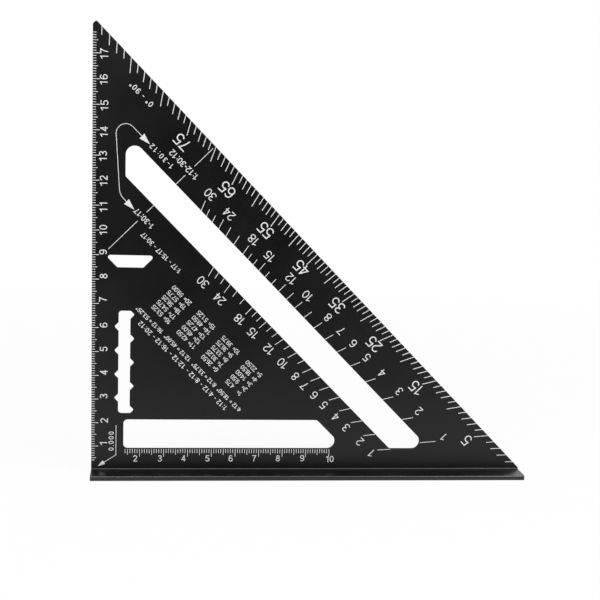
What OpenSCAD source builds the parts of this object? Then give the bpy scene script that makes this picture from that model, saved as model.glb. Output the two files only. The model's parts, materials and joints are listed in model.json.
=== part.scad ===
// Metric rafter square: a 45 degree triangular blade that stands in a T-shaped fence.
// Millimetres. X runs along the fence from the square edge to the toe, Y is through the
// blade with the printed face towards -Y, and Z is up. The origin is the middle of the
// fence's underside. Inside the modules the flat shapes are drawn as (u, v): u is the
// distance from the square edge and v is the height above the fence's bearing face.

/* [Blade] */
// Length of both legs, from the pivot corner to the sharp tips
leg = 184; // [172:1:260]
// Thickness of the blade
blade_t = 2.2; // [1.6:0.1:4]
// How far down the square edge the blunt apex starts, which is cut square to the guide edge
apex_blunt = 2.7; // [1.5:0.1:4]
// Radius of the apex's two corners
apex_r = 0.6; // [0.2:0.1:0.8]
// How far the toe is cut back, blade and fence together
toe_blunt = 0.8; // [0.4:0.1:4]

/* [Fence] */
// Width of the fence across the blade
fence_w = 24; // [16:0.5:40]
// Thickness of the fence's two flanges
fence_t = 2; // [1.6:0.1:6]
// Depth of the groove that the blade stands in
seat_depth = 0.8; // [0.4:0.1:1.2]
// Radius of the fillets along the root of the blade
root_fillet = 0.7; // [0.3:0.1:1.5]
// Size of the rounding along the fence's long edges
fence_edge = 0.4; // [0.2:0.1:0.8]
// Radius of the fence's four corners, seen from above
fence_corner_r = 0.8; // [0.3:0.1:3]

/* [Cut-outs] */
// Web between the square edge and the two long slots
edge_web = 13.2; // [10:0.1:20]
// Web between the fence and the two long slots
fence_web = 8.7; // [7.6:0.1:12]
// Web between the guide edge and the diagonal slot
guide_web = 22.2; // [16:0.1:26]
// Web between the diagonal slot and the openings below it
inner_web = 13.6; // [9:0.1:18]
// Width of the diagonal slot
diagonal_slot_w = 12.4; // [8:0.1:14]
// Height of the horizontal slot
level_slot_h = 12.7; // [8:0.1:14]
// Radius in the slots' sharp lower ends
slot_tip_r = 3.3; // [1.5:0.1:4]
// Radius in the diagonal slot's sharp upper end
slot_top_r = 3.7; // [1.5:0.1:4]
// Radius in the slots' square corners
slot_corner_r = 1.8; // [0.5:0.1:3]
// Radius in the slots' blunt corners
slot_blunt_r = 1.5; // [0.5:0.1:3]

/* [Scribing slot] */
// Distance from the square edge to the notched slot
scribe_u = 10.9; // [9:0.1:20]
// Width of the notched slot
scribe_w = 4.8; // [3:0.1:8]
// Web between the horizontal slot and its lower end
scribe_gap = 2.3; // [1.4:0.1:5]
// Height of its upper end above the fence
scribe_top = 67.1; // [56:0.1:71]
// Radius in its square corners
scribe_corner_r = 1.4; // [0.3:0.1:2]
// Rise from one scribing notch to the next, on alternate sides, counted from the fence
notch_step = 5; // [4.8:0.1:6]
// Height of every notch above its step
notch_lift = 0.4; // [0:0.1:1]
// Half of a notch's mouth, which is also its depth before rounding
notch_half = 1.9; // [1.5:0.1:2.3]
// Radius in the bottom of a notch
notch_r = 1; // [0.3:0.1:1.4]

/* [Small hole] */
// Left end of the small hole's narrow side
hole_u = 10.2; // [9:0.1:14]
// Length of the small hole's narrow side
hole_w = 10.5; // [6:0.1:12]
// Height of the small hole's narrow side above the fence
hole_v = 84.8; // [78:0.1:92]
// Height of the small hole
hole_h = 5.2; // [4.2:0.1:6]
// Radius in its two sharp corners
hole_tip_r = 1; // [0.3:0.1:1.5]

/* [Printed scales] */
// Thickness of the printed layer
print_t = 0.05; // [0.02:0.01:0.2]
// Line width of the millimetre scales
fine_line = 0.25; // [0.2:0.05:0.5]
// Line width of the degree scale
degree_line = 0.3; // [0.2:0.05:0.7]
// Line width of the rise scales
rise_line = 0.25; // [0.2:0.05:0.7]
// Length of a millimetre mark
mm_mark = 1.4; // [0.8:0.1:2]
// Length of a five millimetre mark
half_mark = 2.1; // [1:0.1:3]
// Length of a centimetre mark
cm_mark = 2.9; // [1.5:0.1:4]
// Extra length of the horizontal slot's marks
slot_mark_add = 0.3; // [0:0.1:1]
// First mark of the square edge's scale
edge_scale_start = 4; // [1:1:9]
// Distance left free above the last mark of the square edge's scale
edge_scale_end = 6; // [4:0.5:12]
// Last mark of the scale under the horizontal slot
slot_scale_end = 100; // [50:1:100]
// Length of a one degree mark
degree_mark = 3.4; // [2:0.1:5]
// Length of a two or three degree mark
degree_mid_mark = 4.3; // [2.5:0.1:6]
// Length of a five degree mark
degree_long_mark = 6.2; // [4:0.1:8]
// Set-in of the point that the degree and common rafter marks aim at, from the square edge
pivot_u = 0.4; // [0:0.1:2]
// Its height above the fence
pivot_v = 0.1; // [0:0.1:2]
// Set-in of the point that the hip rafter marks aim at, from the square edge
hip_pivot_u = 1.7; // [0:0.1:3]
// Its height above the fence
hip_pivot_v = 1.4; // [0:0.1:3]
// Depth of a long rise mark, square to the slot
rise_long_mark = 4.1; // [2:0.1:5]
// Depth of a short rise mark
rise_short_mark = 2.8; // [1.5:0.1:4]
// Run that the rise marks are counted against
run = 12; // [10:1:20]

/* [Printed pointers] */
// Line width of the pointers
pointer_line = 0.25; // [0.2:0.05:0.7]
// Length of the double pointer's arrowheads
cut_head_len = 4.5; // [2:0.1:6]
// Width of the double pointer's arrowheads
cut_head_w = 2.8; // [1.5:0.1:4]
// Length of the pivot pointer's arrowhead
pivot_head_len = 3.1; // [2:0.1:4]
// Width of the pivot pointer's arrowhead
pivot_head_w = 1.9; // [1.2:0.1:3]
// Clearance between the pivot pointer's stem and the horizontal slot
pivot_stem_gap = 3; // [1.5:0.1:5]
// How far the stem's two ends lie below the horizontal slot's two sides
pivot_stem_drop = 2.5; // [1:0.1:4]
// Distance of the pivot pointer's tip from the square edge
pivot_tip_u = 2.7; // [1.5:0.1:4]
// Height of the pivot pointer's tip above the fence
pivot_tip_v = 1.4; // [0.9:0.1:3]
// Clearance between the double pointer's side and the diagonal slot's upper end
cut_side_gap = 4.5; // [2.5:0.1:5]
// How far that side leans towards the slot on its way down
cut_lean = 2.3; // [0:0.1:3]
// Clearance between the double pointer's upper arm and the slot
cut_out_gap = 3.6; // [2:0.1:6]
// How far the upper arm's tip reaches past the slot's end
cut_out_reach = 9.6; // [7:0.1:14]
// Clearance between the double pointer's lower arm and the slot
cut_in_gap = 6.8; // [3:0.1:8]
// How far the lower arm's tip reaches past the slot's end
cut_in_reach = 3.7; // [3:0.1:6]
// Radius of the double pointer's upper bend
cut_out_bend = 3.9; // [2:0.1:5]
// Radius of its lower bend
cut_in_bend = 6; // [2:0.1:7]

/* [Printed divider] */
// Width of the line that parts the two kinds of cut
divider_line_w = 0.25; // [0.2:0.05:0.7]
// How far below the small hole's upper side that line meets the square edge
divider_drop = 4.2; // [-2:0.1:4.8]
// Distance of its lower end from the square edge
divider_start = 6.6; // [4:0.1:9]
// Reach of its stub below the diagonal slot, along the fence
divider_in_stub = 2.8; // [1:0.1:5]
// Reach of its stub above the diagonal slot, along the fence
divider_out_stub = 3.8; // [1:0.1:5]
// Gaps that it leaves for the headings, along the fence
divider_gap = 3.6; // [1:0.1:6]
// Distance of its upper end from the guide edge, along the fence
divider_end = 0.9; // [0.3:0.1:4]
// Bare rim that it leaves round the degree marks
divider_rim = 0.1; // [0.05:0.05:0.5]

/* [Hidden] */
$fn = 48;
root2 = sqrt(2);
arc_step = 9;
eps = 0.01;

fence_len = leg - toe_blunt;
slot_out_sum = leg - guide_web * root2;
slot_in_sum = slot_out_sum - diagonal_slot_w * root2;
frame_sum = slot_in_sum - inner_web * root2;
level_slot_top = fence_web + level_slot_h;
scribe_right = scribe_u + scribe_w;
scribe_bottom = level_slot_top + scribe_gap;
hole_right = hole_u + hole_w;
hole_top = hole_v + hole_h;
divider_v = hole_top - divider_drop;
hip_run = run * root2;
pivot = [pivot_u, pivot_v];
hip_pivot = [hip_pivot_u, hip_pivot_v];

rises = concat([for (n = [1:18]) n], [for (n = [20:2:30]) n]);
short_common_rises = [13, 14, 16, 17, 26, 28];
short_hip_rises = [9, 11, 13, 14, 16, 17, 20, 22, 26, 28];

// Unit vector from p to q
function toward(p, q) = (q - p) / norm(q - p);

// Half of the angle at p between the directions a and b
function half_angle(a, b) = acos(a * b) / 2;

// Centre of the arc that rounds the corner p with radius r
function arc_centre(p, a, b, r) = p + (a + b) / norm(a + b) * r / sin(half_angle(a, b));

// Corners are [u, v, radius]
function at(corner) = [corner[0], corner[1]];
function next(list, i) = list[(i + 1) % len(list)];
function last(list, i) = list[(i + len(list) - 1) % len(list)];

// Closed shape with true arcs at its corners, each of which points outwards if it is rounded
module rounded(corners) {
    spans = [for (i = [0:len(corners) - 1])
        [toward(at(corners[i]), at(last(corners, i))), toward(at(corners[i]), at(next(corners, i)))]];
    polygon([for (i = [0:len(corners) - 1])
        let (p = at(corners[i]), cut = corners[i][2] / tan(half_angle(spans[i][0], spans[i][1])))
        each cut > 0 ? [p + spans[i][0] * cut, p + spans[i][1] * cut] : [p]]);
    for (i = [0:len(corners) - 1])
        let (r = corners[i][2])
        if (r > 0)
            translate(arc_centre(at(corners[i]), spans[i][0], spans[i][1], r)) circle(r);
}

// Points of the bend at p of an open path
function bend(p, a, b, r) =
    let (centre = arc_centre(p, a, b, r), cut = r / tan(half_angle(a, b)),
        from = p + a * cut - centre, to = p + b * cut - centre,
        start = atan2(from[1], from[0]), turn = atan2(to[1], to[0]) - start,
        sweep = turn > 180 ? turn - 360 : turn < -180 ? turn + 360 : turn,
        steps = ceil(abs(sweep) / arc_step))
    [for (i = [0:steps]) centre + r * [cos(start + sweep * i / steps), sin(start + sweep * i / steps)]];

// Open path with its inner corners rounded
function bent(corners) = concat([at(corners[0])],
    [for (i = [1:len(corners) - 2])
        let (p = at(corners[i]))
        each bend(p, toward(p, at(corners[i - 1])), toward(p, at(corners[i + 1])), corners[i][2])],
    [at(corners[len(corners) - 1])]);

// Points of a path moved sideways by d
function beside(path, d) =
    [for (i = [0:len(path) - 1])
        let (back = i > 0 ? toward(path[i - 1], path[i]) : toward(path[0], path[1]),
            on = i < len(path) - 1 ? toward(path[i], path[i + 1]) : back,
            mid = (back + on) / norm(back + on))
        path[i] + d / (mid * on) * [-mid[1], mid[0]]];

function backwards(list) = [for (i = [len(list) - 1:-1:0]) list[i]];

// Line of width w along a path
module stroke(path, w) {
    polygon(concat(beside(path, w / 2), backwards(beside(path, -w / 2))));
}

// Corners of an arrowhead of length l and width w that points in a direction
function head(base, way, l, w) =
    let (side = [-way[1], way[0]] * w / 2)
    [base + side, base + way * l, base - side];

// Line along a path with an arrowhead beyond its end, or beyond both ends
module arrow(path, l, w, double = false) {
    end = len(path) - 1;
    polygon(concat(beside(path, pointer_line / 2),
        head(path[end], toward(path[end - 1], path[end]), l, w),
        backwards(beside(path, -pointer_line / 2)),
        double ? head(path[0], toward(path[1], path[0]), l, w) : []));
}

// From the flat (u, v) drawing to its place on the standing blade
module stand(y) {
    translate([-fence_len / 2, y, fence_t]) rotate([90, 0, 0]) children();
}

module printed() {
    color("white") stand(-blade_t / 2) linear_extrude(print_t) children();
}

// The blade

module blade_outline() {
    rounded([[0, -seat_depth, 0], [fence_len, -seat_depth, 0], [fence_len, toe_blunt, 0],
        [apex_blunt / 2, leg - apex_blunt / 2, apex_r], [0, leg - apex_blunt, apex_r]]);
}

module diagonal_slot() {
    rounded([[edge_web, slot_in_sum - edge_web, slot_blunt_r],
        [slot_in_sum - fence_web, fence_web, slot_blunt_r],
        [slot_out_sum - fence_web, fence_web, slot_tip_r],
        [edge_web, slot_out_sum - edge_web, slot_top_r]]);
}

module level_slot() {
    rounded([[edge_web, fence_web, slot_corner_r],
        [frame_sum - fence_web, fence_web, slot_tip_r],
        [frame_sum - level_slot_top, level_slot_top, slot_blunt_r],
        [edge_web, level_slot_top, slot_corner_r]]);
}

// Corners of the notched slot between its end and the nearest notch on one side
function scribe_end(u, out, v, end) =
    let (gap = abs(v - end))
    gap < notch_half ? [[u + out * (notch_half - gap), end, notch_r]]
        : [[u, end, min(scribe_corner_r, gap - notch_half)], [u, v + sign(end - v) * notch_half, 0]];

// Corners of one side with its notches, from the lower end to the upper
function scribe_side(u, out, heights) = concat(
    scribe_end(u, out, heights[0], scribe_bottom),
    [for (i = [0:len(heights) - 1])
        each concat(i > 0 ? [[u, heights[i] - notch_half, 0]] : [],
            [[u + out * notch_half, heights[i], notch_r]],
            i < len(heights) - 1 ? [[u, heights[i] + notch_half, 0]] : [])],
    backwards(scribe_end(u, out, heights[len(heights) - 1], scribe_top)));

// Height of a notch's middle, for a count of steps from the fence
function notch_height(k) = k * notch_step + notch_lift;

// Slot for a pencil point, with a notch at every step by turns on its right and left side
module scribing_slot() {
    room = 1.1 * notch_r;
    lowest = ceil((scribe_bottom + room - notch_lift) / notch_step);
    highest = floor((scribe_top - room - notch_lift) / notch_step);
    steps = [lowest:highest];
    rounded(concat(
        scribe_side(scribe_right, 1, [for (k = steps) if (k % 2 == 1) notch_height(k)]),
        backwards(scribe_side(scribe_u, -1, [for (k = steps) if (k % 2 == 0) notch_height(k)]))));
}

module small_hole() {
    rounded([[hole_u, hole_v, hole_tip_r / 2], [hole_right, hole_v, hole_tip_r / 2],
        [hole_right + hole_h, hole_top, hole_tip_r], [hole_u - hole_h, hole_top, hole_tip_r]]);
}

module blade() {
    color([0.13, 0.13, 0.14]) stand(blade_t / 2) linear_extrude(blade_t) difference() {
        blade_outline();
        diagonal_slot();
        level_slot();
        scribing_slot();
        small_hole();
    }
}

// The fence

// Cross-section, with the bearing faces at height 0
module fence_section() {
    root = blade_t / 2 + root_fillet;
    difference() {
        union() {
            translate([-fence_w / 2, -fence_t + fence_edge]) square([fence_w, fence_t - 2 * fence_edge]);
            translate([-fence_w / 2 + fence_edge, -fence_t]) square([fence_w - 2 * fence_edge, fence_t]);
            for (side = [-1, 1], v = [-fence_edge, fence_edge - fence_t])
                translate([side * (fence_w / 2 - fence_edge), v]) circle(fence_edge);
            translate([-root, -eps]) square([2 * root, root_fillet + eps]);
        }
        for (side = [-1, 1])
            translate([side * root, root_fillet]) circle(root_fillet);
        translate([-blade_t / 2, -seat_depth]) square([blade_t, seat_depth + root_fillet + 1]);
    }
}

module fence_plan() {
    x = fence_len / 2;
    y = fence_w / 2;
    rounded([[-x, -y, fence_corner_r], [x, -y, fence_corner_r], [x, y, fence_corner_r],
        [-x, y, fence_corner_r]]);
}

module fence() {
    color([0.17, 0.17, 0.18]) intersection() {
        translate([-fence_len / 2, 0, fence_t])
            rotate([90, 0, 90]) linear_extrude(fence_len) fence_section();
        linear_extrude(fence_t + root_fillet) fence_plan();
    }
}

// Millimetre scales

function mm_length(i) = i % 10 == 0 ? cm_mark : i % 5 == 0 ? half_mark : mm_mark;

module edge_scale() {
    printed() for (i = [edge_scale_start:floor(leg - edge_scale_end)])
        translate([0, i - fine_line / 2]) square([mm_length(i), fine_line]);
}

module slot_scale() {
    first = ceil(edge_web + fine_line);
    end = min(slot_scale_end, floor(frame_sum - fence_web - slot_tip_r * 2));
    printed() for (i = [first:end])
        let (l = mm_length(i) + slot_mark_add)
            translate([i - fine_line / 2, fence_web - l]) square([fine_line, l]);
}

// Angle scales: every mark lies on a ray from a point close to the pivot corner

function on_ray(from, angle, r, side) =
    from + r * [cos(angle), sin(angle)] + side * [-sin(angle), cos(angle)];

// Distance along the ray's side line to the slanting line u + v = sum
function ray_to(from, angle, sum, side) =
    (sum - from[0] - from[1] - side * (cos(angle) - sin(angle))) / (cos(angle) + sin(angle));

// Mark of length l that ends on the guide edge
module degree_tick(angle, l, w) {
    edge = leg - eps;
    inner = ray_to(pivot, angle, edge, 0) - l;
    polygon([on_ray(pivot, angle, inner, -w / 2),
        on_ray(pivot, angle, ray_to(pivot, angle, edge, -w / 2), -w / 2),
        on_ray(pivot, angle, ray_to(pivot, angle, edge, w / 2), w / 2),
        on_ray(pivot, angle, inner, w / 2)]);
}

// All degree marks, each with a rim around it
module degree_ticks(rim) {
    for (a = [1:89])
        let (off = min(a % 5, 5 - a % 5),
            l = off == 0 ? degree_long_mark : off == 1 ? degree_mark : degree_mid_mark)
        degree_tick(a, l + rim, degree_line + 2 * rim);
}

module degree_scale() {
    printed() degree_ticks(0);
}

// Mark along a ray between two slanting lines
module rise_tick(from, angle, near_sum, far_sum) {
    half = rise_line / 2;
    near = ray_to(from, angle, near_sum, 0);
    far = ray_to(from, angle, far_sum, 0);
    polygon([on_ray(from, angle, near, -half), on_ray(from, angle, far, -half),
        on_ray(from, angle, far, half), on_ray(from, angle, near, half)]);
}

function rise_depth(n, short) = len([for (m = short) if (m == n) m]) > 0 ? rise_short_mark : rise_long_mark;

// Rise of a common rafter for each run, read on the diagonal slot's upper side
module common_rafter_scale() {
    printed() difference() {
        for (n = rises)
            rise_tick(pivot, atan2(n, run), slot_out_sum - slot_tip_r,
                slot_out_sum + rise_depth(n, short_common_rises) * root2);
        diagonal_slot();
    }
}

// The same for a hip or valley rafter, read on its lower side
module hip_rafter_scale() {
    printed() difference() {
        for (n = rises)
            rise_tick(hip_pivot, atan2(n, hip_run),
                slot_in_sum - rise_depth(n, short_hip_rises) * root2, slot_in_sum + rise_line);
        diagonal_slot();
    }
}

// Pointers

// Arrow down to the pivot corner
module pivot_arrow() {
    stem = edge_web - pivot_stem_gap;
    corner = [stem, fence_web - pivot_stem_drop];
    tip = [pivot_tip_u, pivot_tip_v];
    base = tip - toward(corner, tip) * pivot_head_len;
    printed() arrow([[stem, level_slot_top - pivot_stem_drop], corner, base], pivot_head_len, pivot_head_w);
}

// Point on the slanting line u + v = sum
function slanting(sum, u) = [u, sum - u];

// Bent double arrow round the upper end of the diagonal slot, to both kinds of cut
module cut_arrow() {
    side = edge_web - cut_side_gap;
    out_line = slot_out_sum + cut_out_gap * root2;
    in_line = slot_in_sum - cut_in_gap * root2;
    over = slanting(out_line, side);
    under = slanting(in_line, side + cut_lean);
    out_tip = slanting(out_line, edge_web + cut_out_reach);
    in_tip = slanting(in_line, edge_web + cut_in_reach);
    path = bent([out_tip - toward(over, out_tip) * cut_head_len, concat(over, cut_out_bend),
        concat(under, cut_in_bend), in_tip - toward(under, in_tip) * cut_head_len]);
    printed() arrow(path, cut_head_len, cut_head_w, double = true);
}

// Broken line square to the guide edge, with gaps for the headings
module divider_line() {
    slot_in = (slot_in_sum - divider_v) / 2;
    slot_out = (slot_out_sum - divider_v) / 2;
    guide = (leg - divider_v) / 2;
    under = slot_in - divider_in_stub;
    over = slot_out + divider_out_stub;
    printed() difference() {
        for (span = [[divider_start, under - divider_gap], [under, slot_in + divider_line_w],
            [slot_out - divider_line_w, over], [over + divider_gap, guide - divider_end]])
            stroke([for (u = span) [u, u + divider_v]], divider_line_w);
        diagonal_slot();
        degree_ticks(divider_rim);
    }
}

blade();
fence();
edge_scale();
slot_scale();
degree_scale();
common_rafter_scale();
hip_rafter_scale();
pivot_arrow();
cut_arrow();
divider_line();
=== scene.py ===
import json
import math

import bpy
from bpy.props import FloatProperty, FloatVectorProperty, PointerProperty
from bpy.types import Operator, Panel, PropertyGroup, Scene
from mathutils import Matrix, Vector
from mathutils.geometry import delaunay_2d_cdt


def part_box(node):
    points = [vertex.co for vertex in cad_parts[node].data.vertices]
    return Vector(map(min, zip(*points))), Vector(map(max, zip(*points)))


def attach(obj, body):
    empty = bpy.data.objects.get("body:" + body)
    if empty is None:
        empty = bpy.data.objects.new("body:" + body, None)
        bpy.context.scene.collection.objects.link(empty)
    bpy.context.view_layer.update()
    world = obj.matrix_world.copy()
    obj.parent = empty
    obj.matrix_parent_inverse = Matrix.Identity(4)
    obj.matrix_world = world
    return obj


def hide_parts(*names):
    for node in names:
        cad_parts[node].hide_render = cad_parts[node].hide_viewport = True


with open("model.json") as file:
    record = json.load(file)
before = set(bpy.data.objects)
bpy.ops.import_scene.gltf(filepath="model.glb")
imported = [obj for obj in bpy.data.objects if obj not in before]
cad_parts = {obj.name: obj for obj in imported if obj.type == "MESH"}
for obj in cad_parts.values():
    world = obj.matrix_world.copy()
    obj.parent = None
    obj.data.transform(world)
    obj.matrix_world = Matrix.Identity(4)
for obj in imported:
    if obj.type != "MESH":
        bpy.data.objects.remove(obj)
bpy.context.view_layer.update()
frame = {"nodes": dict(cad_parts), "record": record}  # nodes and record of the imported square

bl_info = {
    "name": "Rafter Square",
    "version": (1, 0, 0),
    "blender": (4, 5, 0),
    "location": "View3D > Sidebar > Square",
    "description": "Anodised finish, white numerals and a soft studio for a metric rafter square",
    "category": "Object",
}

MM = 0.001
NODES = frame["nodes"]
MOUNTS = {mount["name"]: mount for mount in frame["record"]["mounts"]}
BLADE_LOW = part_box("blade")[0]

# Where the flat layout of the printed face lies: u runs from the square edge along the
# fence, v runs up from the fence's bearing face.
SQUARE_EDGE_X = BLADE_LOW.x
BEARING_Z = MOUNTS["fence_bearing_front"]["pos_m"][2]
FACE_Y = BLADE_LOW.y
INK_DEPTH = FACE_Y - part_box("edge_scale")[0].y

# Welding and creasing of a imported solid's copy. A bend under the flat angle is the noise of a
# flat face, one under the smooth angle is a curve, and one over the cut angle is a cut edge.
WELD_GAP = 0.002 * MM
FLAT_ANGLE = math.radians(0.5)
SMOOTH_ANGLE = math.radians(25)
CUT_ANGLE = math.radians(40)

# Faces of the blade that lean further than this from its printed face are cut walls.
WALL_LEAN = 0.5

# Depth to which the fence's long edges are rounded, and the lean of the faces there
ROUNDED_EDGE = 0.45 * MM
ROUNDED_LEAN = (0.1, 0.99)

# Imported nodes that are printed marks
PRINTED_NODES = ("edge_scale", "slot_scale", "degree_scale", "common_rafter_scale",
                 "hip_rafter_scale", "pivot_arrow", "cut_arrow", "divider_line")

# Reading directions on the face. Numbers beside the square edge read upwards, those under
# the horizontal slot read level, and all others stand with their tops to the pivot corner.
UPWARDS = 90
LEVEL = 0
SLANTING = 135

# Rows of (number, middle along the reading direction, foot of the figures), in millimetres.
# The foot is measured from the pivot corner, square to the reading direction.
EDGE_NUMBERS = (
    ("1", 11.0, 6.6), ("2", 20.9, 6.85), ("3", 31.3, 6.6), ("4", 41.2, 6.6),
    ("5", 51.1, 6.5), ("6", 61.1, 6.4), ("7", 71.7, 6.1), ("8", 81.3, 6.3),
    ("9", 91.1, 6.05), ("10", 99.9, 6.05), ("11", 109.2, 6.1), ("12", 119.7, 6.1),
    ("13", 129.5, 5.8), ("14", 139.1, 6.1), ("15", 149.5, 6.25), ("16", 159.6, 5.9),
    ("17", 169.6, 6.05),
)
SLOT_NUMBERS = (
    ("2", 18.2, -3.3), ("3", 28.5, -3.3), ("4", 38.25, -3.4), ("5", 48.4, -3.35),
    ("6", 58.2, -3.35), ("7", 68.2, -3.35), ("8", 78.25, -3.35), ("9", 88.6, -3.4),
    ("10", 100.3, -3.05),
)
DEGREE_NUMBERS = (
    ("5", -104.0, 124.45), ("15", -71.7, 124.2), ("25", -44.7, 124.0), ("35", -21.6, 123.95),
    ("45", 0.2, 123.9), ("55", 21.9, 123.9), ("65", 44.8, 123.9), ("75", 71.1, 123.9),
)
COMMON_RISE_NUMBERS = (
    ("1", -96.1, 117.6), ("2", -79.7, 117.5), ("3", -67.3, 117.3), ("4", -56.3, 117.3),
    ("5", -46.7, 117.3), ("6", -38.2, 117.2), ("7", -30.6, 117.2), ("8", -22.6, 117.1),
    ("10", -10.3, 117.1), ("12", -0.3, 117.0), ("15", 12.7, 117.0), ("18", 22.2, 116.95),
    ("24", 37.0, 116.95), ("30", 48.05, 116.9),
)
HIP_RISE_NUMBERS = (
    ("1", -79.1, 90.4), ("2", -71.6, 90.35), ("3", -62.8, 90.3), ("4", -56.3, 90.25),
    ("5", -48.9, 90.2), ("6", -42.8, 90.15), ("7", -36.9, 90.05), ("8", -31.3, 90.05),
    ("10", -23.8, 90.0), ("12", -15.4, 90.0), ("15", -5.8, 90.0), ("18", 2.25, 89.95),
    ("24", 14.4, 89.9), ("30", 24.3, 89.85),
)

# Rows of (text, start and end along the reading direction, foot, height) for the plain
# figures beside the scales and above the table.
SLANTING_LEGENDS = (
    ("0° - 90°", 89.6, 101.6, 124.0, 2.35),
    ("1-30:12", 66.2, 78.8, 112.7, 2.2),
    ("1:12-30:12", 56.2, 71.6, 117.0, 2.6),
    ("1-30:17", 54.3, 64.6, 90.15, 2.35),
    ("1:17 - 15:17 - 30:17", 33.5, 55.8, 85.2, 2.05),
    ("1:12 - 4:12 - 8:12 - 12:12 - 16:12 - 20:12", -21.2, 30.4, 58.85, 2.1),
    ("4:12 = 18.50°  8:12 = 33.75°  12:12 = 45.00°  16:12 = 53.25°", -25.8, 35.5, 62.4, 1.85),
)
PIVOT_LEGEND = ("0.000", 8.0, 16.2, 9.3, 2.15)

# Conversion table: twenty rises against a run of twelve, in four columns of five rows, with
# the degrees to the nearest quarter.
TABLE_RUN = 12
TABLE_PARTS_OF_DEGREE = 4
TABLE_ROWS = 5
TABLE_COLUMNS = 4
TABLE_EQUALS_AT = -18.95
TABLE_VALUES_AT = -12.25
TABLE_COLUMN_STEP = 14.6
TABLE_FIRST_FOOT = 67.5
TABLE_ROW_STEP = 2.88

# How each row of figures is drawn: the pen's width and the gap between figures as shares of
# the figures' height, and the number of straight steps in a whole turn.
EDGE_PEN = {"pen": 0.118, "spacing": 0.18, "steps": 20}
SLOT_PEN = {"pen": 0.125, "spacing": 0.08, "steps": 20}
DEGREE_PEN = {"pen": 0.1, "spacing": 0.07, "steps": 28}
RISE_PEN = {"pen": 0.102, "spacing": 0.07, "steps": 24}
TABLE_PEN = {"pen": 0.12, "spacing": 0.05, "steps": 14}
LEGEND_PEN = {"pen": 0.136, "spacing": 0.07, "steps": 14}
LEGEND_HEIGHT = 2 * MM

# Widths of figures and of the space between words, as shares of their height
FIGURE_WIDTH = 0.63
NARROW_FIGURE = 0.42
SPACE_WIDTH = 0.26

# Side of the cube around a figure of unit height, with which its strokes are joined
CUBE_AROUND = 6

# Outline of a figure of unit height: least upward lean of the faces that it runs round, and
# the gap and the sine of a turn below which a point of it is left out
UPPER_FACE = 0.5
SAME_POINT = 0.001
STRAIGHT = 0.001

# Fill of an outline: Blender's number for the triangles inside it, and the tolerance
INSIDE_CONSTRAINTS = 1
FILL_GAP = 0.00001

# Anodised finishes: mean roughness, share of drawn lines in the relief, specular level and
# strength of the relief
SATIN_BLADE = {"roughness": 0.40, "line_share": 0.15, "specular": 0.385, "relief": 0.25}
DRAWN_FENCE = {"roughness": 0.32, "line_share": 0.55, "specular": 0.53, "relief": 0.2}
CUT_EDGE = {"roughness": 0.62, "line_share": 0.8, "specular": 0.15, "relief": 0.3}
# Rounded fence edges: a painted highlight, the fence colour times the gain below, with a higher specular level
PAINTED_HIGHLIGHT_EDGE = {"roughness": 0.26, "line_share": 0.0, "specular": 1.0, "relief": 0.04}
PAINTED_HIGHLIGHT_GAIN = 6
CLOUD_GAIN = 1.25
ROUGHNESS_SPREAD = 0.04
ANODISED_RELIEF = 0.02 * MM

# Patterns of the metal, in turns for each metre. The drawn lines run along the fence.
CLOUD_SCALE = 42.0
GRAIN_SCALE = 2600.0
LINE_SCALES = (12.0, 2200.0, 2200.0)

# Middle part of a noise's range, which is stretched over the whole of a mask
NOISE_MIDDLE = (0.3, 0.7)

# Ink: patterns in turns for each metre, the part of the pits that are thin places, how far the
# ink lets the metal through there, tones of the cover, roughness, specular level and relief
INK_PATCH_SCALE = 260.0
INK_PIT_SCALE = 4200.0
INK_THIN_PART = (0.60, 0.74)
INK_THIN_COVER = 0.35
INK_SHADE = 0.9
INK_THIN_SHADE = 0.25
INK_ROUGHNESS = (0.52, 0.66)
INK_SPECULAR = 0.35
INK_RELIEF = 0.3
INK_RELIEF_DEPTH = 0.01 * MM

# Places of the inputs and outputs of a Mix node that mixes colours, whose labels repeat
MIX_FIRST = 6
MIX_SECOND = 7
MIX_RESULT = 2

# Floor, in metres: paper tones, scale of the fibres, and the reach over which the floor turns
# to plain white where it is seen
FLOOR_SIZE = 9
PAPER_TONES = ((0.80, 0.80, 0.80), (0.84, 0.84, 0.84))
PAPER_FIBRES = 60.0
WHITE_REACH = (0.15, 0.7)
WHITE_SHARE = (0.92, 1.0)

# Corners of the dark cloth in front of the square that its blade reflects, and its colour
FLAG_CORNERS = ((-0.105, -0.2, 0), (0.17, -0.2, 0), (-0.21, -0.2, 0.214), (0.11, -0.2, 0.214))
FLAG_COLOUR = (0.01, 0.01, 0.01, 1)

# Soft lights: place, width and height in metres, all turned to one point
LIGHT_AIM = (0, 0, 0.07)
KEY_LIGHT = ((-0.75, -0.8, 1.15), 0.9, 0.9)
FILL_LIGHT = ((0.9, -0.75, 0.75), 0.8, 0.8)
TOP_LIGHT = ((0.1, -0.52, 1.25), 1.2, 0.5)

# Camera: its place from the foot of the square edge on the printed face, its axes and its lens
CAMERA_PLACE = Vector((0.025410, -0.502324, 0.144179))
CAMERA_RIGHT = Vector((0.992935, -0.114310, 0.031846))
CAMERA_UP = Vector((-0.012437, 0.166645, 0.985939))
CAMERA_AHEAD = Vector((0.118009, 0.979369, -0.164046))
CAMERA_LENS = 73.674
CAMERA_SENSOR = 36
CAMERA_SHIFT = 0.05
CAMERA_CLIP = 0.01

WHITE = (1, 1, 1, 1)


# Settings


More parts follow.
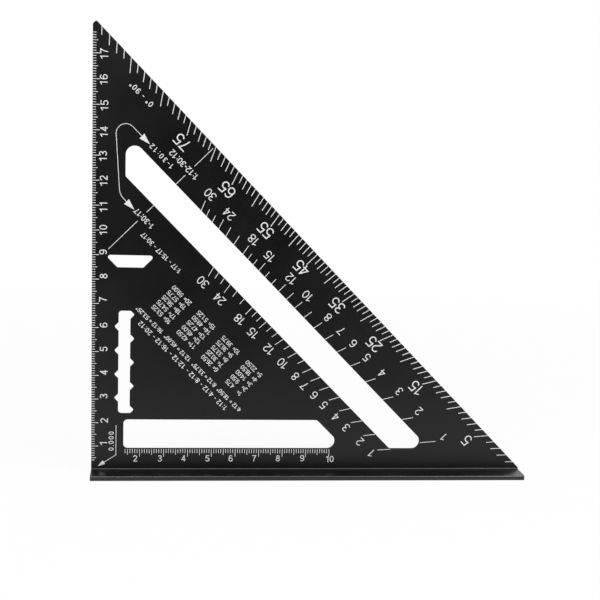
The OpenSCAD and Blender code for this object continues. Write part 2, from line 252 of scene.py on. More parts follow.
class SquareNumerals(PropertyGroup):
    """Sizes of the printed figures"""

    edge_height: FloatProperty(
        name="Edge figures", description="Height of the figures beside the square edge",
        default=3.1 * MM, min=1 * MM, max=6 * MM, unit="LENGTH", subtype="DISTANCE")
    slot_height: FloatProperty(
        name="Slot figures", description="Height of the figures under the horizontal slot",
        default=2.75 * MM, min=1 * MM, max=4 * MM, unit="LENGTH", subtype="DISTANCE")
    degree_height: FloatProperty(
        name="Degree figures", description="Height of the figures of the degree scale",
        default=4.85 * MM, min=2 * MM, max=8 * MM, unit="LENGTH", subtype="DISTANCE")
    rise_height: FloatProperty(
        name="Rise figures", description="Height of the figures of both rise scales",
        default=3.6 * MM, min=1 * MM, max=5 * MM, unit="LENGTH", subtype="DISTANCE")
    table_height: FloatProperty(
        name="Table figures", description="Height of the figures of the conversion table",
        default=1.95 * MM, min=1 * MM, max=2.6 * MM, unit="LENGTH", subtype="DISTANCE")


class SquareFinish(PropertyGroup):
    """Colours and surfaces of the metal and the ink"""

    blade_colour: FloatVectorProperty(
        name="Blade", description="Colour of the anodised blade",
        default=(0.0013, 0.0013, 0.0015), min=0, max=1, size=3, subtype="COLOR")
    fence_colour: FloatVectorProperty(
        name="Fence", description="Colour of the anodised fence",
        default=(0.0020, 0.0020, 0.0022), min=0, max=1, size=3, subtype="COLOR")
    ink_colour: FloatVectorProperty(
        name="Ink", description="Colour of the printed marks and figures",
        default=(0.68, 0.68, 0.67), min=0, max=1, size=3, subtype="COLOR")
    edge_break: FloatProperty(
        name="Edge break", description="Size of the small chamfer along every cut edge",
        default=0.12 * MM, min=0.05 * MM, max=0.3 * MM, unit="LENGTH", subtype="DISTANCE")


class SquareStudio(PropertyGroup):
    """Light around the square"""

    key_power: FloatProperty(
        name="Key light", description="Power of the large soft light at the upper left",
        default=12.0, min=0, max=60, unit="POWER")
    fill_power: FloatProperty(
        name="Fill light", description="Power of the soft light at the right",
        default=9.0, min=0, max=60, unit="POWER")
    top_power: FloatProperty(
        name="Top light", description="Power of the soft light above the square",
        default=4.6, min=0, max=60, unit="POWER")
    room_light: FloatProperty(
        name="Room light", description="Strength of the even light from all around",
        default=0.35, min=0, max=2)


# Modelling helpers


def select_only(piece):
    """Leave one object selected and active."""
    bpy.ops.object.select_all(action="DESELECT")
    piece.select_set(True)
    bpy.context.view_layer.objects.active = piece


def apply_modifier(piece, kind, name, **values):
    """Add a modifier, set it up and apply it."""
    select_only(piece)
    bpy.ops.object.modifier_add(type=kind)
    modifier = piece.modifiers[-1]
    modifier.name = name
    for key, value in values.items():
        setattr(modifier, key, value)
    bpy.ops.object.modifier_apply(modifier=modifier.name)


def link(piece):
    """Put a new object in the scene."""
    bpy.context.scene.collection.objects.link(piece)
    return piece


def finish_piece(piece, slot, *replaced):
    """Make a finished mesh part of the square."""
    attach(piece, "root")
    if replaced:
        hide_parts(*replaced)


# Figures, drawn as pen strokes in a box of unit height


def arc(cx, cy, rx, ry, start, end, steps):
    """Points of part of an ellipse, with a number of steps for a whole turn."""
    count = max(2, math.ceil(abs(end - start) / 360 * steps))
    angles = [math.radians(start + (end - start) * i / count) for i in range(count + 1)]
    return [(cx + rx * math.cos(a), cy + ry * math.sin(a)) for a in angles]


def ring(cx, cy, rx, ry, steps):
    """A closed ellipse."""
    return arc(cx, cy, rx, ry, 0, 360, steps)[:-1], True


def sweep(p, q, r, s, count=6):
    """Points of one smooth curve from p to s, pulled towards q and r."""
    points = []
    for i in range(count + 1):
        t = i / count
        k = (1 - t) ** 3, 3 * t * (1 - t) ** 2, 3 * t * t * (1 - t), t ** 3
        points.append(tuple(sum(a * b[axis] for a, b in zip(k, (p, q, r, s))) for axis in (0, 1)))
    return points


def figure_strokes(sign, pen, steps):
    """Width of a sign, and its strokes as (points, closed). h is half of the pen's width."""
    h = pen / 2
    w = FIGURE_WIDTH
    mid = w / 2
    rx = mid - h
    if sign == "0":
        return w, [ring(mid, 0.5, rx, 0.5 - h, steps)]
    if sign == "1":
        stem = NARROW_FIGURE - h
        flag = [(0.04, 0.74), (stem, 1 - 0.85 * pen)]
        return NARROW_FIGURE, [([(stem, 0), (stem, 1)], False), (flag, False)]
    if sign == "2":
        bow = arc(mid, 0.70, rx - 0.005, 0.30 - h, 172, 0, steps)
        back = sweep((w - h - 0.005, 0.70), (w - h - 0.005, 0.47), (h + 0.16, 0.34), (h + 0.05, h))
        return w, [(bow + back[1:] + [(w, h)], False)]
    if sign == "3":
        waist = (mid - 0.07, 0.525)
        upper = arc(mid - 0.01, 0.75, rx - 0.03, 0.25 - h, 163, -70, steps)
        lower = arc(mid - 0.01, 0.285, rx, 0.285 - h, 68, -163, steps)
        return w, [(upper + [waist], False), ([waist] + lower, False)]
    if sign == "4":
        stem = 0.47
        slope = [(stem - 0.02, 1 - 0.62 * pen), (1.7 * h, 0.30), (w + 0.02, 0.30)]
        return w, [([(stem, 0), (stem, 1)], False), (slope, False)]
    if sign == "5":
        bowl = arc(mid - 0.01, 0.325, rx, 0.325 - h, 128, -163, steps)
        return w, [([(w - 0.03, 1 - h), (0.135, 1 - h), (0.075, 0.50)], False), (bowl, False)]
    if sign == "6":
        back = arc(mid + 0.02, 0.57, rx + 0.02, 0.43 - h, 40, 180, steps)
        return w, [ring(mid, 0.31, rx, 0.31 - h, steps), (back + [(h, 0.31)], False)]
    if sign == "7":
        stem = sweep((w - 1.1 * h, 1 - h), (0.36, 0.66), (0.26, 0.33), (0.235, 0))
        return w, [([(0, 1 - h)] + stem, False)]
    if sign == "8":
        upper = ring(mid, 0.755, rx - 0.035, 0.245 - h, steps)
        lower = ring(mid, 0.285, rx, 0.285 - h, steps)
        return w, [upper, lower]
    if sign == "9":
        strokes = figure_strokes("6", pen, steps)[1]
        return w, [([(w - x, 1 - y) for x, y in points], closed) for points, closed in strokes]
    if sign == "=":
        return 0.5, [([(0, 0.62), (0.5, 0.62)], False), ([(0, 0.36), (0.5, 0.36)], False)]
    if sign == "-":
        return 0.36, [([(0, 0.45), (0.36, 0.45)], False)]
    if sign == ".":
        return 1.1 * pen, [([(0, h), (1.1 * pen, h)], False)]
    if sign == ":":
        return 1.1 * pen, [([(0, y), (1.1 * pen, y)], False) for y in (h + 0.06, 0.62)]
    if sign == "°":
        return 0.38, [ring(0.19, 0.81, 0.19 - h, 0.19 - h, max(10, steps * 0.6))]
    raise ValueError("no strokes for the sign " + sign)


def outline(mesh):
    """Closed outlines of a figure's upper face, each as the places where it turns."""
    sides = set()
    for face in mesh.polygons:
        if face.normal.z > UPPER_FACE:
            loop = list(face.vertices)
            sides.update(zip(loop, loop[1:] + loop[:1]))
    follows = {start: end for start, end in sides if (end, start) not in sides}
    places = {index: mesh.vertices[index].co.to_2d() for index in follows}
    loops = []
    while follows:
        at = next(iter(follows))
        loop = []
        while at in follows:
            loop.append(places[at])
            at = follows.pop(at)
        loop = [at for before, at in zip(loop[-1:] + loop[:-1], loop)
                if (at - before).length > SAME_POINT]
        turns = [(before - at).normalized().cross((after - at).normalized())
                 for before, at, after in zip(loop[-1:] + loop[:-1], loop, loop[1:] + loop[:1])]
        corners = [tuple(at) for at, turn in zip(loop, turns) if abs(turn) > STRAIGHT]
        first = corners.index(min(corners))
        loops.append(corners[first:] + corners[:first])
    return sorted(loops)


def within(place, points, sides):
    """Whether a place lies inside an outline, by the number of its sides to the right of it."""
    crossed = 0
    for start, end in sides:
        a, b = points[start], points[end]
        if (a.y > place.y) != (b.y > place.y):
            crossed += place.x < a.x + (place.y - a.y) / (b.y - a.y) * (b.x - a.x)
    return crossed % 2 == 1


def fill_again(mesh):
    """Fill a figure from its outline, because the boolean fills it another way on each run."""
    heights = [point.co.z for point in mesh.vertices]
    points = []
    sides = []
    for loop in outline(mesh):
        around = range(len(points), len(points) + len(loop))
        sides += zip(around, (*around[1:], around[0]))
        points += [Vector(corner) for corner in loop]
    points, _, fill, *_ = delaunay_2d_cdt(points, sides, [], INSIDE_CONSTRAINTS, FILL_GAP)
    below = len(points)
    faces = [(start, start + below, end + below, end) for start, end in sides]
    for upper in fill:
        middle = sum((points[index] for index in upper), Vector((0, 0))) / 3
        if within(middle, points, sides):
            faces += [upper, [index + below for index in reversed(upper)]]
    mesh.clear_geometry()
    levels = max(heights), min(heights)
    mesh.from_pydata([(*point, level) for level in levels for point in points], [], faces)


def draw_figure(sign, pen, steps):
    """Model one sign as a solid of unit height and unit depth, and return its mesh and width."""
    width, strokes = figure_strokes(sign, pen, steps)
    path = bpy.data.curves.new("figure", "CURVE")
    path.dimensions = "3D"
    for points, closed in strokes:
        spline = path.splines.new("POLY")
        spline.points.add(len(points) - 1)
        for knot, (x, y) in zip(spline.points, points):
            knot.co = (x, y, 0, 1)
        spline.use_cyclic_u = closed
    piece = link(bpy.data.objects.new("figure", path))
    select_only(piece)
    bpy.ops.object.convert(target="MESH")
    piece = bpy.context.object
    bpy.ops.object.mode_set(mode="EDIT")
    bpy.ops.mesh.select_all(action="SELECT")
    bpy.ops.mesh.extrude_region_move(TRANSFORM_OT_translate={"value": (0, 0, 1)})
    bpy.ops.object.mode_set(mode="OBJECT")
    apply_modifier(piece, "SOLIDIFY", "pen", thickness=pen, offset=0, use_even_offset=True)
    if len(strokes) > 1:
        bpy.ops.mesh.primitive_cube_add(size=CUBE_AROUND)
        around = bpy.context.object
        apply_modifier(piece, "BOOLEAN", "join strokes", operation="INTERSECT", solver="EXACT",
                       use_self=True, object=around)
        bpy.data.objects.remove(around)
    select_only(piece)
    bpy.ops.object.mode_set(mode="EDIT")
    bpy.ops.mesh.select_all(action="SELECT")
    bpy.ops.mesh.normals_make_consistent(inside=False)
    bpy.ops.object.mode_set(mode="OBJECT")
    mesh = piece.data
    bpy.data.objects.remove(piece)
    fill_again(mesh)
    return mesh, width


class Lettering:
    """Figures of one height and pen, set on the printed face and joined into one piece."""

    def __init__(self, name, height, pen, spacing, steps):
        self.name = name
        self.height = height
        self.pen = pen
        self.spacing = spacing
        self.steps = steps
        self.figures = {}
        self.copies = []

    def figure(self, sign):
        """Mesh and width of a sign, drawn once."""
        if sign not in self.figures:
            self.figures[sign] = draw_figure(sign, self.pen, self.steps)
        return self.figures[sign]

    def cell(self, sign):
        """Width that a sign takes in a row: all figures take the same."""
        if sign == " ":
            return SPACE_WIDTH
        if sign.isdigit():
            return FIGURE_WIDTH
        return self.figure(sign)[1]

    def length(self, text, spacing):
        """Length of a text as a share of its height."""
        return sum(self.cell(sign) for sign in text) + spacing * (len(text) - 1)

    def put(self, text, turn, along, foot, height, spacing):
        """Set a text by its start and its foot, in metres on the face."""
        right = Vector((math.cos(math.radians(turn)), math.sin(math.radians(turn))))
        up = Vector((-right.y, right.x))
        pen_at = along
        for sign in text:
            cell = self.cell(sign)
            if sign != " ":
                mesh, width = self.figure(sign)
                start = pen_at + (cell - width) / 2 * height
                corner = right * start - up * foot
                place = Matrix((
                    (right.x * height, up.x * height, 0, SQUARE_EDGE_X + corner.x),
                    (0, 0, -INK_DEPTH, FACE_Y),
                    (right.y * height, up.y * height, 0, BEARING_Z + corner.y),
                    (0, 0, 0, 1)))
                copy = mesh.copy()
                copy.transform(place)
                self.copies.append(link(bpy.data.objects.new(self.name, copy)))
            pen_at += (cell + spacing) * height

    def centred(self, text, turn, middle, foot):
        """Set a text by its middle, in millimetres on the face."""
        half = self.length(text, self.spacing) * self.height / 2
        self.put(text, turn, middle * MM - half, foot * MM, self.height, self.spacing)

    def ending(self, text, turn, end, foot):
        """Set a text by its end, in millimetres on the face."""
        length = self.length(text, self.spacing) * self.height
        self.put(text, turn, end * MM - length, foot * MM, self.height, self.spacing)

    def between(self, text, turn, start, end, foot, height):
        """Set a text of its own height, spread from start to end, all in millimetres."""
        height *= MM
        spare = (end - start) * MM / height - self.length(text, 0)
        self.put(text, turn, start * MM, foot * MM, height, spare / (len(text) - 1))

    def joined(self):
        """Join all that was set into one piece of white ink."""
        bpy.ops.object.select_all(action="DESELECT")
        for copy in self.copies:
            copy.select_set(True)
        bpy.context.view_layer.objects.active = self.copies[0]
        bpy.ops.object.join()
        piece = bpy.context.object
        piece.name = self.name
        piece.data.name = self.name
        piece.data.materials.clear()
        piece.data.materials.append(ink_material())
        finish_piece(piece, "print")


# Materials


def new_group(name, inputs, outputs):
    """An empty shader node group with named sockets."""
    group = bpy.data.node_groups.new(name, "ShaderNodeTree")
    for label, kind, default in inputs:
        socket = group.interface.new_socket(name=label, in_out="INPUT", socket_type=kind)
        socket.default_value = default
    for label, kind in outputs:
        group.interface.new_socket(name=label, in_out="OUTPUT", socket_type=kind)
    entry = group.nodes.new("NodeGroupInput")
    exit_ = group.nodes.new("NodeGroupOutput")
    entry.location = (-900, 0)
    exit_.location = (500, 0)
    return group, entry, exit_


def add_node(tree, kind, x, y, **values):
    """A new node at a place in the node editor."""
    node = tree.nodes.new(kind)
    node.location = (x, y)
    for key, value in values.items():
        setattr(node, key, value)
    return node


def noise(tree, vector, scale, detail, x, y):
    """A noise pattern over the given coordinates."""
    node = add_node(tree, "ShaderNodeTexNoise", x, y)
    node.inputs["Scale"].default_value = scale
    node.inputs["Detail"].default_value = detail
    tree.links.new(vector, node.inputs["Vector"])
    return node


def remap(tree, value, low, high, to_low, to_high, x, y):
    """Stretch part of a value's range over another, whose ends are numbers or sockets."""
    node = add_node(tree, "ShaderNodeMapRange", x, y, clamp=True)
    tree.links.new(value, node.inputs["Value"])
    ends = {"From Min": low, "From Max": high, "To Min": to_low, "To Max": to_high}
    for label, end in ends.items():
        if isinstance(end, (int, float)):
            node.inputs[label].default_value = end
        else:
            tree.links.new(end, node.inputs[label])
    return node.outputs["Result"]


def anodised_surface():
    """Etched grain, soft clouds and faint draw lines of anodised metal."""
    if "Anodised surface" in bpy.data.node_groups:
        return bpy.data.node_groups["Anodised surface"]
    group, entry, exit_ = new_group(
        "Anodised surface",
        (("Grain scale", "NodeSocketFloat", GRAIN_SCALE),
         ("Line share", "NodeSocketFloat", SATIN_BLADE["line_share"]),
         ("Roughness low", "NodeSocketFloat", SATIN_BLADE["roughness"] - ROUGHNESS_SPREAD),
         ("Roughness high", "NodeSocketFloat", SATIN_BLADE["roughness"] + ROUGHNESS_SPREAD)),
        (("Cloud", "NodeSocketFloat"), ("Roughness", "NodeSocketFloat"),
         ("Height", "NodeSocketFloat")))
    place = add_node(group, "ShaderNodeTexCoord", -900, -300)
    cloud = noise(group, place.outputs["Object"], CLOUD_SCALE, 3.0, -640, 200)
    grain = noise(group, place.outputs["Object"], GRAIN_SCALE, 4.0, -640, -60)
    group.links.new(entry.outputs["Grain scale"], grain.inputs["Scale"])
    drawn = add_node(group, "ShaderNodeMapping", -640, -360)
    drawn.inputs["Scale"].default_value = LINE_SCALES
    group.links.new(place.outputs["Object"], drawn.inputs["Vector"])
    lines = noise(group, drawn.outputs["Vector"], 1.0, 2.0, -440, -360)
    blend = add_node(group, "ShaderNodeMix", -200, -160, data_type="FLOAT")
    group.links.new(entry.outputs["Line share"], blend.inputs["Factor"])
    group.links.new(grain.outputs["Fac"], blend.inputs["A"])
    group.links.new(lines.outputs["Fac"], blend.inputs["B"])
    soft = remap(group, cloud.outputs["Fac"], *NOISE_MIDDLE, 0.0, 1.0, -200, 200)
    rough = remap(group, cloud.outputs["Fac"], *NOISE_MIDDLE, entry.outputs["Roughness low"],
                  entry.outputs["Roughness high"], -200, 20)
    group.links.new(soft, exit_.inputs["Cloud"])
    group.links.new(rough, exit_.inputs["Roughness"])
    group.links.new(blend.outputs["Result"], exit_.inputs["Height"])
    return group


def ink_layer():
    """Uneven cover of screen-printed ink: a tone and a mask of tiny thin places."""
    if "Ink layer" in bpy.data.node_groups:
        return bpy.data.node_groups["Ink layer"]
    group, entry, exit_ = new_group(
        "Ink layer",
        (("Thin places", "NodeSocketFloat", INK_THIN_COVER),),
        (("Tone", "NodeSocketFloat"), ("Thin", "NodeSocketFloat"), ("Height", "NodeSocketFloat")))
    place = add_node(group, "ShaderNodeTexCoord", -900, -300)
    patches = noise(group, place.outputs["Object"], INK_PATCH_SCALE, 2.0, -640, 160)
    pits = noise(group, place.outputs["Object"], INK_PIT_SCALE, 3.0, -640, -100)
    tone = remap(group, patches.outputs["Fac"], *NOISE_MIDDLE, 0.0, 1.0, -300, 160)
    thin = remap(group, pits.outputs["Fac"], *INK_THIN_PART, 0.0, entry.outputs["Thin places"],
                 -300, -60)
    group.links.new(tone, exit_.inputs["Tone"])
    group.links.new(thin, exit_.inputs["Thin"])
    group.links.new(pits.outputs["Fac"], exit_.inputs["Height"])
    return group


def two_tone(tree, factor, first, second, x, y):
    """Colour between two colours by a factor that changes over the surface."""
    mix = add_node(tree, "ShaderNodeMix", x, y, data_type="RGBA")
    tree.links.new(factor, mix.inputs["Factor"])
    mix.inputs[MIX_FIRST].default_value = (*first, 1)
    mix.inputs[MIX_SECOND].default_value = (*second, 1)
    return mix.outputs[MIX_RESULT]


def bump(tree, height, strength, distance, shader, x, y):
    """Let a height raise the surface of a shader."""
    node = add_node(tree, "ShaderNodeBump", x, y)
    node.inputs["Strength"].default_value = strength
    node.inputs["Distance"].default_value = distance
    tree.links.new(height, node.inputs["Height"])
    tree.links.new(node.outputs["Normal"], shader.inputs["Normal"])


def new_material(name):
    """A new material with its node tree and its shader."""
    material = bpy.data.materials.new(name)
    material.use_nodes = True
    tree = material.node_tree
    shader = tree.nodes["Principled BSDF"]
    return material, tree, shader


def anodised_material(name, colour, roughness, line_share, specular, relief):
    """Black anodised aluminium with a fine satin grain."""
    if name in bpy.data.materials:
        return bpy.data.materials[name]
    material, tree, shader = new_material(name)
    surface = add_node(tree, "ShaderNodeGroup", -700, 0, node_tree=anodised_surface())
    surface.inputs["Line share"].default_value = line_share
    surface.inputs["Roughness low"].default_value = roughness - ROUGHNESS_SPREAD
    surface.inputs["Roughness high"].default_value = roughness + ROUGHNESS_SPREAD
    lighter = [channel * CLOUD_GAIN for channel in colour]
    tree.links.new(two_tone(tree, surface.outputs["Cloud"], colour, lighter, -300, 200),
                   shader.inputs["Base Color"])
    tree.links.new(surface.outputs["Roughness"], shader.inputs["Roughness"])
    shader.inputs["Specular IOR Level"].default_value = specular
    bump(tree, surface.outputs["Height"], relief, ANODISED_RELIEF, shader, -300, -200)
    return material


def blade_material():
    """The satin faces of the blade."""
    finish = bpy.context.scene.square_finish
    return anodised_material("satin_blade", finish.blade_colour, **SATIN_BLADE)


def fence_material():
    """The faces of the fence, with lines drawn along it."""
    finish = bpy.context.scene.square_finish
    return anodised_material("drawn_fence", finish.fence_colour, **DRAWN_FENCE)


def cut_material():
    """The cut walls of the blade, duller than its faces."""
    finish = bpy.context.scene.square_finish
    return anodised_material("cut_edge", finish.blade_colour, **CUT_EDGE)


def painted_highlight_material():
    """The rounded edges of the fence, with a painted highlight: a colour lighter than the faces' stands in for
    the light they catch, and a raised specular level.
    """
    finish = bpy.context.scene.square_finish
    colour = [channel * PAINTED_HIGHLIGHT_GAIN for channel in finish.fence_colour]
    return anodised_material("painted_highlight_edge", colour, **PAINTED_HIGHLIGHT_EDGE)


def ink_material():
    """White screen-printed ink."""
    if "print_white" in bpy.data.materials:
        return bpy.data.materials["print_white"]
    finish = bpy.context.scene.square_finish
    material, tree, shader = new_material("print_white")
    layer = add_node(tree, "ShaderNodeGroup", -900, 0, node_tree=ink_layer())
    layer.inputs["Thin places"].default_value = INK_THIN_COVER
    dimmer = [channel * INK_SHADE for channel in finish.ink_colour]
    tone = two_tone(tree, layer.outputs["Tone"], finish.ink_colour, dimmer, -600, 200)
    worn = add_node(tree, "ShaderNodeMix", -300, 200, data_type="RGBA")
    tree.links.new(layer.outputs["Thin"], worn.inputs["Factor"])
    tree.links.new(tone, worn.inputs[MIX_FIRST])
    thin = [INK_THIN_SHADE * channel for channel in finish.ink_colour]
    worn.inputs[MIX_SECOND].default_value = (*thin, 1)
    tree.links.new(worn.outputs[MIX_RESULT], shader.inputs["Base Color"])
    tree.links.new(remap(tree, layer.outputs["Tone"], 0.0, 1.0, *INK_ROUGHNESS, -300, 0),
                   shader.inputs["Roughness"])
    shader.inputs["Specular IOR Level"].default_value = INK_SPECULAR
    bump(tree, layer.outputs["Height"], INK_RELIEF, INK_RELIEF_DEPTH, shader, -300, -200)
    return material


# Operators for the pieces


def dressed_copy(node, name, edge_break, materials):
    """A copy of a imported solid, whose broken edges take the second of two materials."""
    piece = link(bpy.data.objects.new(name, NODES[node].data.copy()))
    piece.data.name = name
    select_only(piece)
    if piece.data.has_custom_normals:
        bpy.ops.mesh.customdata_custom_splitnormals_clear()
    bpy.ops.object.mode_set(mode="EDIT")
    bpy.ops.mesh.select_all(action="SELECT")
    bpy.ops.mesh.remove_doubles(threshold=WELD_GAP)
    bpy.ops.mesh.dissolve_limited(angle_limit=FLAT_ANGLE)
    bpy.ops.object.mode_set(mode="OBJECT")
    piece.data.materials.clear()
    for material in materials:
        piece.data.materials.append(material)
    apply_modifier(piece, "BEVEL", "edge break", width=edge_break, segments=1,
                   limit_method="ANGLE", angle_limit=CUT_ANGLE, material=1)
    select_only(piece)
    bpy.ops.object.shade_smooth_by_angle(angle=SMOOTH_ANGLE)
    return piece


class SQUARE_OT_blade(Operator):
    """Dress the blade: broken edges and a satin black anodised face"""

    bl_idname = "square.blade"
    bl_label = "Blade"

    def execute(self, context):
        finish = context.scene.square_finish
        piece = dressed_copy("blade", "blade_plate", finish.edge_break,
                             (blade_material(), cut_material()))
        for face in piece.data.polygons:
            if abs(face.normal.y) < WALL_LEAN:
                face.material_index = 1
        finish_piece(piece, "blade_anodised", "blade")
        return {"FINISHED"}


class SQUARE_OT_fence(Operator):
    """Dress the fence: broken ends and drawn, anodised flanges"""

    bl_idname = "square.fence"
    bl_label = "Fence"

    def execute(self, context):
        finish = context.scene.square_finish
        # The fence's broken edges and its rounded long edges take the second material, whose lighter colour is
        # a painted highlight
        piece = dressed_copy("fence", "fence_bar", finish.edge_break,
                             (fence_material(), painted_highlight_material()))
        low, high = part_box("fence")
        for face in piece.data.polygons:
            outer = min(face.center.y - low.y, high.y - face.center.y) < ROUNDED_EDGE
            if outer and ROUNDED_LEAN[0] < abs(face.normal.z) < ROUNDED_LEAN[1]:
                face.material_index = 1
        finish_piece(piece, "fence_anodised", "fence")
        return {"FINISHED"}


class SQUARE_OT_marks(Operator):
    """Give the printed marks, pointers and divider their white ink"""

    bl_idname = "square.marks"
    bl_label = "Printed marks"

    def execute(self, context):
        for name in PRINTED_NODES:
            slots = NODES[name].data.materials
            if slots:
                slots[0] = ink_material()
            else:
                slots.append(ink_material())
        return {"FINISHED"}


class SQUARE_OT_ruler_numbers(Operator):
    """Set the centimetre figures of the square edge and of the horizontal slot"""

    bl_idname = "square.ruler_numbers"
    bl_label = "Centimetre figures"

    def execute(self, context):
        sizes = context.scene.square_numerals
        edge = Lettering("edge_numbers", sizes.edge_height, **EDGE_PEN)
        for text, middle, foot in EDGE_NUMBERS:
            edge.centred(text, UPWARDS, middle, foot)
        edge.joined()
        slot = Lettering("slot_numbers", sizes.slot_height, **SLOT_PEN)
        for text, middle, foot in SLOT_NUMBERS:
            slot.centred(text, LEVEL, middle, foot)
        slot.joined()
        return {"FINISHED"}


class SQUARE_OT_degree_numbers(Operator):
    """Set the figures of the degree scale"""

    bl_idname = "square.degree_numbers"
    bl_label = "Degree figures"

    def execute(self, context):
        height = context.scene.square_numerals.degree_height
        figures = Lettering("degree_numbers", height, **DEGREE_PEN)
        for text, middle, foot in DEGREE_NUMBERS:
            figures.centred(text, SLANTING, middle, foot)
        figures.joined()
        return {"FINISHED"}


class SQUARE_OT_rise_numbers(Operator):
    """Set the figures of the common and the hip rafter scales"""

    bl_idname = "square.rise_numbers"
    bl_label = "Rise figures"

    def execute(self, context):
        height = context.scene.square_numerals.rise_height
        for name, rows in (("common_rise_numbers", COMMON_RISE_NUMBERS),
                           ("hip_rise_numbers", HIP_RISE_NUMBERS)):
            figures = Lettering(name, height, **RISE_PEN)
            for text, middle, foot in rows:
                figures.centred(text, SLANTING, middle, foot)
            figures.joined()
        return {"FINISHED"}


class SQUARE_OT_table(Operator):
    """Set the table that turns a rise into degrees, to the nearest quarter"""

    bl_idname = "square.table"
    bl_label = "Conversion table"

    def execute(self, context):
        height = context.scene.square_numerals.table_height
        figures = Lettering("conversion_table", height, **TABLE_PEN)
        for column in range(TABLE_COLUMNS):
            across = column * TABLE_COLUMN_STEP
            for row in range(TABLE_ROWS):
                rise = column * TABLE_ROWS + row + 1
                foot = TABLE_FIRST_FOOT + row * TABLE_ROW_STEP
                angle = math.degrees(math.atan2(rise, TABLE_RUN))
                degrees = round(angle * TABLE_PARTS_OF_DEGREE) / TABLE_PARTS_OF_DEGREE
                figures.ending("%d=" % rise, SLANTING, TABLE_EQUALS_AT + across, foot)
                figures.ending("%.2f" % degrees, SLANTING, TABLE_VALUES_AT + across, foot)
        figures.joined()
        return {"FINISHED"}


class SQUARE_OT_legends(Operator):
    """Set the plain figures that stand at the scales, the table and the pivot"""

    bl_idname = "square.legends"
    bl_label = "Scale legends"

    def execute(self, context):
        figures = Lettering("legend_figures", LEGEND_HEIGHT, **LEGEND_PEN)
        for text, start, end, foot, height in SLANTING_LEGENDS:
            figures.between(text, SLANTING, start, end, foot, height)
        text, start, end, foot, height = PIVOT_LEGEND
        figures.between(text, UPWARDS, start, end, foot, height)
        figures.joined()
        return {"FINISHED"}


# Stage


def seen_directly(tree, x, y):
    """1 for rays that come from the camera, a reflection or a refraction."""
    path = add_node(tree, "ShaderNodeLightPath", x, y)
    first = add_node(tree, "ShaderNodeMath", x + 200, y, operation="MAXIMUM")
    second = add_node(tree, "ShaderNodeMath", x + 400, y, operation="MAXIMUM")
    tree.links.new(path.outputs["Is Camera Ray"], first.inputs[0])
    tree.links.new(path.outputs["Is Glossy Ray"], first.inputs[1])
    tree.links.new(first.outputs[0], second.inputs[0])
    tree.links.new(path.outputs["Is Transmission Ray"], second.inputs[1])
    return second.outputs[0]


def floor_material():
    """Matt white paper that keeps a faint shadow."""
    material = bpy.data.materials.new("white_paper")
    material.use_nodes = True
    tree = material.node_tree
    tree.nodes.clear()
    paper = add_node(tree, "ShaderNodeBsdfDiffuse", -200, 100)
    place = add_node(tree, "ShaderNodeTexCoord", -800, 200)
    fibres = noise(tree, place.outputs["Object"], PAPER_FIBRES, 3.0, -600, 200)
    tree.links.new(two_tone(tree, fibres.outputs["Fac"], *PAPER_TONES, -400, 200),
                   paper.inputs["Color"])
    glow = add_node(tree, "ShaderNodeEmission", -200, -100)
    glow.inputs["Color"].default_value = WHITE
    glow.inputs["Strength"].default_value = 1.0
    reach = add_node(tree, "ShaderNodeVectorMath", -600, 450, operation="LENGTH")
    tree.links.new(place.outputs["Object"], reach.inputs[0])
    share = add_node(tree, "ShaderNodeMath", -200, 300, operation="MULTIPLY")
    tree.links.new(seen_directly(tree, -900, -300), share.inputs[0])
    tree.links.new(remap(tree, reach.outputs["Value"], *WHITE_REACH, *WHITE_SHARE, -400, 450),
                   share.inputs[1])
    mix = add_node(tree, "ShaderNodeMixShader", 100, 0)
    tree.links.new(share.outputs[0], mix.inputs[0])
    tree.links.new(paper.outputs[0], mix.inputs[1])
    tree.links.new(glow.outputs[0], mix.inputs[2])
    out = add_node(tree, "ShaderNodeOutputMaterial", 300, 0)
    tree.links.new(mix.outputs[0], out.inputs["Surface"])
    return material


def soft_light(name, place, width, height, power):
    """A rectangular soft light turned to the square."""
    bpy.ops.object.light_add(type="AREA", location=place)
    lamp = bpy.context.object
    lamp.name = name
    lamp.data.shape = "RECTANGLE"
    lamp.data.size = width
    lamp.data.size_y = height
    lamp.data.energy = power
    towards = Vector(LIGHT_AIM) - Vector(place)
    lamp.rotation_euler = towards.to_track_quat("-Z", "Y").to_euler()
    lamp.visible_camera = False


def white_floor():
    """A wide floor of white paper."""
    bpy.ops.mesh.primitive_plane_add(size=FLOOR_SIZE, location=(0, 0, 0))
    floor = bpy.context.object
    floor.name = "floor"
    floor.data.materials.append(floor_material())


def dark_flag():
    """A dark cloth that shows only in reflections."""
    bpy.ops.mesh.primitive_plane_add(size=1)
    flag = bpy.context.object
    flag.name = "black_flag"
    for corner, place in zip(flag.data.vertices, FLAG_CORNERS):
        corner.co = place
    flag.visible_camera = False
    flag.visible_diffuse = False
    flag.visible_shadow = False
    material, tree, shader = new_material("black_cloth")
    shader.inputs["Base Color"].default_value = FLAG_COLOUR
    shader.inputs["Roughness"].default_value = 1.0
    flag.data.materials.append(material)


def plain_room(strength):
    """Even light from all around, which is white where it is seen."""
    scene = bpy.context.scene
    scene.world = scene.world or bpy.data.worlds.new("World")
    scene.world.use_nodes = True
    tree = scene.world.node_tree
    tree.nodes.clear()
    room = add_node(tree, "ShaderNodeBackground", 0, 100)
    room.inputs["Color"].default_value = WHITE
    room.inputs["Strength"].default_value = strength
    white = add_node(tree, "ShaderNodeBackground", 0, -100)
    white.inputs["Color"].default_value = WHITE
    white.inputs["Strength"].default_value = 1.0
    mix = add_node(tree, "ShaderNodeMixShader", 300, 0)
    tree.links.new(seen_directly(tree, -700, 0), mix.inputs[0])
    tree.links.new(room.outputs[0], mix.inputs[1])
    tree.links.new(white.outputs[0], mix.inputs[2])
    out = add_node(tree, "ShaderNodeOutputWorld", 500, 0)
    tree.links.new(mix.outputs[0], out.inputs["Surface"])


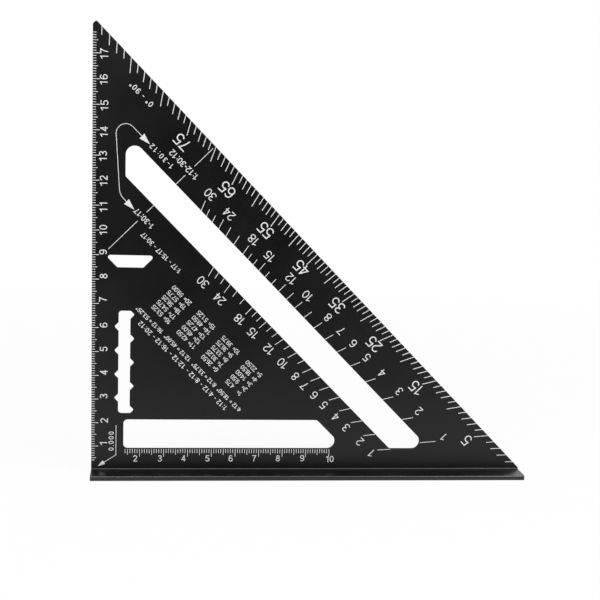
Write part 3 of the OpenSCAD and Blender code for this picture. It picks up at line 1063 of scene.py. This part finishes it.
def fitted_camera():
    """A camera that sees the square from its front, a little from the left and above."""
    bpy.ops.object.camera_add()
    camera = bpy.context.object
    camera.name = "camera"
    camera.data.sensor_width = CAMERA_SENSOR
    camera.data.lens = CAMERA_LENS
    camera.data.shift_y = CAMERA_SHIFT
    camera.data.clip_start = CAMERA_CLIP
    eye = Vector((SQUARE_EDGE_X, FACE_Y, BEARING_Z)) + CAMERA_PLACE
    turned = Matrix((CAMERA_RIGHT, CAMERA_UP, -CAMERA_AHEAD)).transposed()
    camera.matrix_world = Matrix.Translation(eye) @ turned.to_4x4()
    bpy.context.scene.camera = camera


class SQUARE_OT_stage(Operator):
    """Set up the white floor, the soft lights and the camera"""

    bl_idname = "square.stage"
    bl_label = "Studio"

    def execute(self, context):
        studio = context.scene.square_studio
        bpy.ops.object.select_all(action="DESELECT")
        white_floor()
        dark_flag()
        soft_light("key", *KEY_LIGHT, studio.key_power)
        soft_light("fill", *FILL_LIGHT, studio.fill_power)
        soft_light("top", *TOP_LIGHT, studio.top_power)
        plain_room(studio.room_light)
        fitted_camera()
        context.scene.view_settings.view_transform = "Standard"
        return {"FINISHED"}


class SQUARE_PT_parts(Panel):
    """Steps that dress the square, and their settings"""

    bl_idname = "SQUARE_PT_parts"
    bl_label = "Rafter Square"
    bl_space_type = "VIEW_3D"
    bl_region_type = "UI"
    bl_category = "Square"

    def draw(self, context):
        for settings in (context.scene.square_numerals, context.scene.square_finish,
                         context.scene.square_studio):
            box = self.layout.box()
            for name in settings.__annotations__:
                box.prop(settings, name)
        for step in STEPS:
            self.layout.operator(step.bl_idname)


STEPS = (SQUARE_OT_blade, SQUARE_OT_fence, SQUARE_OT_marks, SQUARE_OT_ruler_numbers,
         SQUARE_OT_degree_numbers, SQUARE_OT_rise_numbers, SQUARE_OT_table, SQUARE_OT_legends,
         SQUARE_OT_stage)
CLASSES = (SquareNumerals, SquareFinish, SquareStudio) + STEPS + (SQUARE_PT_parts,)


def register():
    """Add the settings, the operators and the panel."""
    for item in CLASSES:
        bpy.utils.register_class(item)
    Scene.square_numerals = PointerProperty(type=SquareNumerals)
    Scene.square_finish = PointerProperty(type=SquareFinish)
    Scene.square_studio = PointerProperty(type=SquareStudio)


def unregister():
    """Take away all that register added."""
    del Scene.square_numerals, Scene.square_finish, Scene.square_studio
    for item in reversed(CLASSES):
        bpy.utils.unregister_class(item)


def main():
    """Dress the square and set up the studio."""
    register()
    bpy.ops.square.blade()
    bpy.ops.square.fence()
    bpy.ops.square.marks()
    bpy.ops.square.ruler_numbers()
    bpy.ops.square.degree_numbers()
    bpy.ops.square.rise_numbers()
    bpy.ops.square.table()
    bpy.ops.square.legends()
    bpy.ops.square.stage()


if __name__ == "__main__":
    main()
